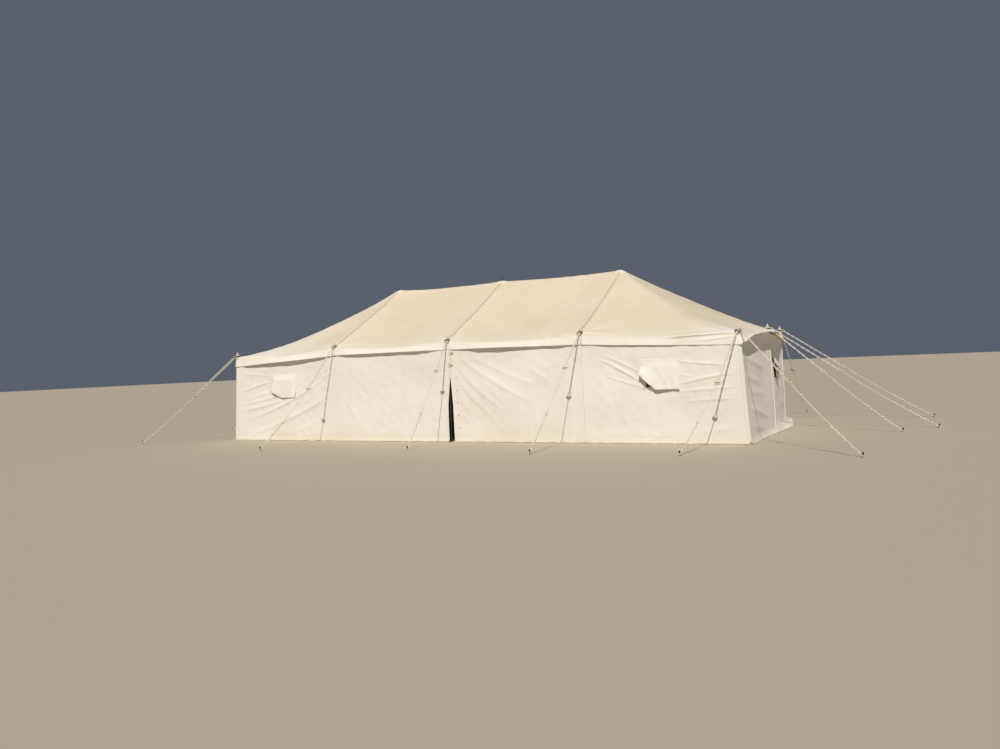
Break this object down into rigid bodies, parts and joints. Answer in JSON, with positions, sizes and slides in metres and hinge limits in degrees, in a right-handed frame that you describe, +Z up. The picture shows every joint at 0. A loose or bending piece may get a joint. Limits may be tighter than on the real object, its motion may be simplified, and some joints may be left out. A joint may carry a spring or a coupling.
{
  "type": "canvas pole marquee",
  "caption": "White canvas pole marquee with a laced hip roof on centre poles, side posts, hung walls with window flaps, and guy ropes to ground pegs.",
  "frame": {"origin": "on the ground, at the middle of the foot of the middle centre pole", "axes": "+X along the ridge to the right-hand end, -Y towards the front with the doorway, +Z up"},
  "size_m": [18.754, 9.9944, 3.7588],
  "materials": {
    "roof_canvas": "matte",
    "wall_canvas": "matte",
    "flap_canvas": "matte",
    "post_steel": "galvanised",
    "pole_steel": "galvanised",
    "guy_rope": "laid rope"
  },
  "bodies": {
    "root": {"roof_left_end": "roof_canvas", "roof_left_bay": "roof_canvas", "roof_right_bay": "roof_canvas", "roof_right_end": "roof_canvas", "front_wall_left": "wall_canvas", "front_wall_right": "wall_canvas", "back_wall_left": "wall_canvas", "back_wall_right": "wall_canvas", "left_end_wall": "wall_canvas", "right_end_wall": "wall_canvas", "front_window_flap_left": "flap_canvas", "front_window_flap_right": "flap_canvas", "back_window_flap_left": "flap_canvas", "back_window_flap_right": "flap_canvas", "left_end_window_flap": "flap_canvas", "right_end_window_flap": "flap_canvas", "front_post_1": "post_steel", "front_post_2": "post_steel", "front_post_3": "post_steel", "front_post_4": "post_steel", "front_post_5": "post_steel", "back_post_1": "post_steel", "back_post_2": "post_steel", "back_post_3": "post_steel", "back_post_4": "post_steel", "back_post_5": "post_steel", "left_end_post": "post_steel", "right_end_post": "post_steel", "centre_pole_1": "pole_steel", "centre_pole_2": "pole_steel", "centre_pole_3": "pole_steel", "front_guy_2": "guy_rope", "front_guy_3": "guy_rope", "front_guy_4": "guy_rope", "front_guy_5": "guy_rope", "front_left_corner_guy": "guy_rope", "front_right_corner_guy": "guy_rope", "back_guy_1": "guy_rope", "back_guy_2": "guy_rope", "back_guy_3": "guy_rope", "back_guy_4": "guy_rope", "back_guy_5": "guy_rope", "back_left_corner_guy": "guy_rope", "back_right_corner_guy": "guy_rope", "left_end_guy_1": "guy_rope", "left_end_guy_2": "guy_rope", "right_end_guy_1": "guy_rope", "right_end_guy_2": "guy_rope"}
  },
  "joints": []
}
